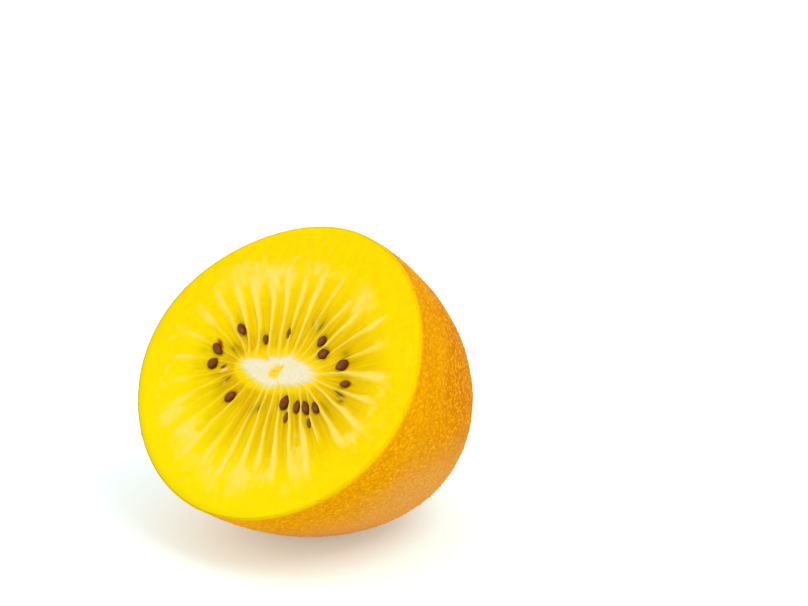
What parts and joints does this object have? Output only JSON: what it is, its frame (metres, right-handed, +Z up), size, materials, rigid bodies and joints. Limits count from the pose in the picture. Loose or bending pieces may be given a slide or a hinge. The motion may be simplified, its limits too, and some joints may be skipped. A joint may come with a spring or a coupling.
{
  "type": "golden kiwi fruit half",
  "caption": "Halved golden kiwi fruit resting on its skin, its cut face tilted up with a white core, seed chambers and bared seeds.",
  "frame": {"origin": "middle of the flat spot on the skin that the half rests on", "axes": "+Z up; the cut face looks towards -Y and up, 54 degrees from straight up; the fruit's far tip points towards +Y and down; +X to the right seen from the cut face"},
  "size_m": [0.0546, 0.0494, 0.0507],
  "materials": {
    "flesh": "moist golden yellow fruit flesh, lightly glossy, with paler chamber walls",
    "skin": "thin hairless golden brown skin, satin, with fine pale dots",
    "seed": "dark brown seed coat, moist and glossy",
    "flower_end": "dry fibrous brown flower remains"
  },
  "bodies": {
    "root": {"kiwi_half": "flesh"}
  },
  "joints": []
}
